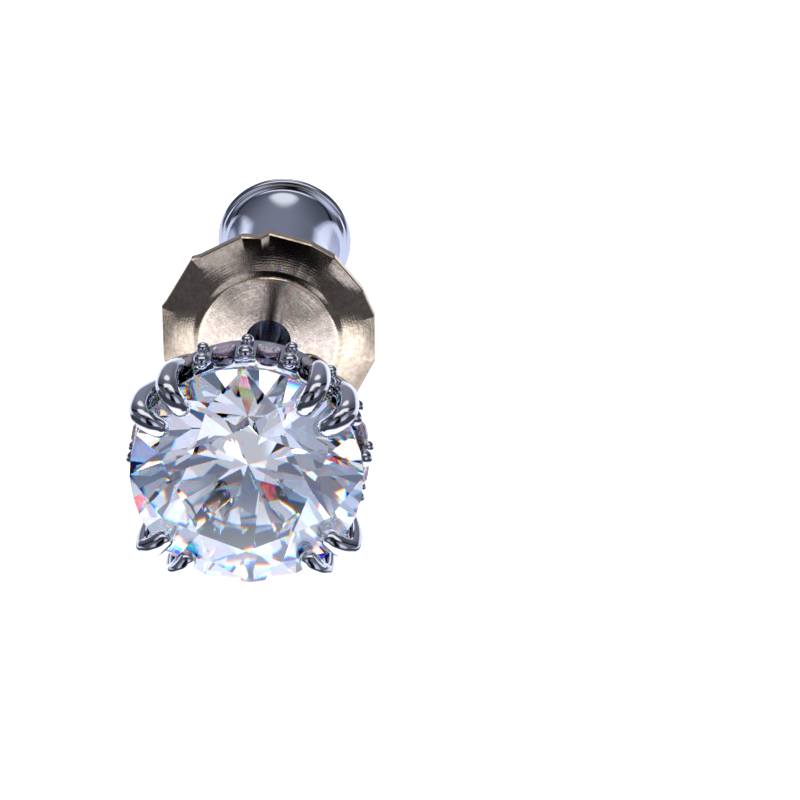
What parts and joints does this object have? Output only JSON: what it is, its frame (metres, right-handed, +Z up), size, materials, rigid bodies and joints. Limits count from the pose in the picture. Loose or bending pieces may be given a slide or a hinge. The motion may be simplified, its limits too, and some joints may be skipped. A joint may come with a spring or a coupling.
{
  "type": "stud earring",
  "caption": "Claw set round stud earring with a ring of small stones round its girdle, a post and a sliding disc and spool clutch, lying on its side.",
  "frame": {"origin": "centre of the bottom of the bounding box, on the surface that the earring lies on", "axes": "+Z up from the surface; +Y along the earring from the stone to the clutch, level, with the earring's own axis tipped 2.6 degrees down towards the clutch and its head rolled 1.6 degrees to the left as the stone's face is seen; +X to the right as the stone's face is seen"},
  "size_m": [0.008, 0.0204, 0.008],
  "materials": {
    "setting_metal": "rhodium plated, polished",
    "centre_stone": "colourless cut stone, polished facets",
    "accent_stones": "colourless small cut stones",
    "disc_steel": "turned, satin, warm grey",
    "spool_steel": "polished, cool grey"
  },
  "bodies": {
    "earring": {"setting": "setting_metal", "centre_stone": "centre_stone", "accent_stone_01": "accent_stones", "accent_stone_02": "accent_stones", "accent_stone_03": "accent_stones", "accent_stone_04": "accent_stones", "accent_stone_05": "accent_stones", "accent_stone_06": "accent_stones", "accent_stone_07": "accent_stones", "accent_stone_08": "accent_stones", "accent_stone_09": "accent_stones", "accent_stone_10": "accent_stones", "accent_stone_11": "accent_stones", "accent_stone_12": "accent_stones", "accent_stone_13": "accent_stones", "accent_stone_14": "accent_stones", "accent_stone_15": "accent_stones", "accent_stone_16": "accent_stones"},
    "clutch": {"clutch_disc": "disc_steel", "clutch_spool": "spool_steel"}
  },
  "joints": [
    {"name": "clutch_slide", "type": "slide", "parent": "earring", "child": "clutch", "axis": [0, 0.999, -0.0453], "range_m": [-0.00585, 0.004]}
  ]
}
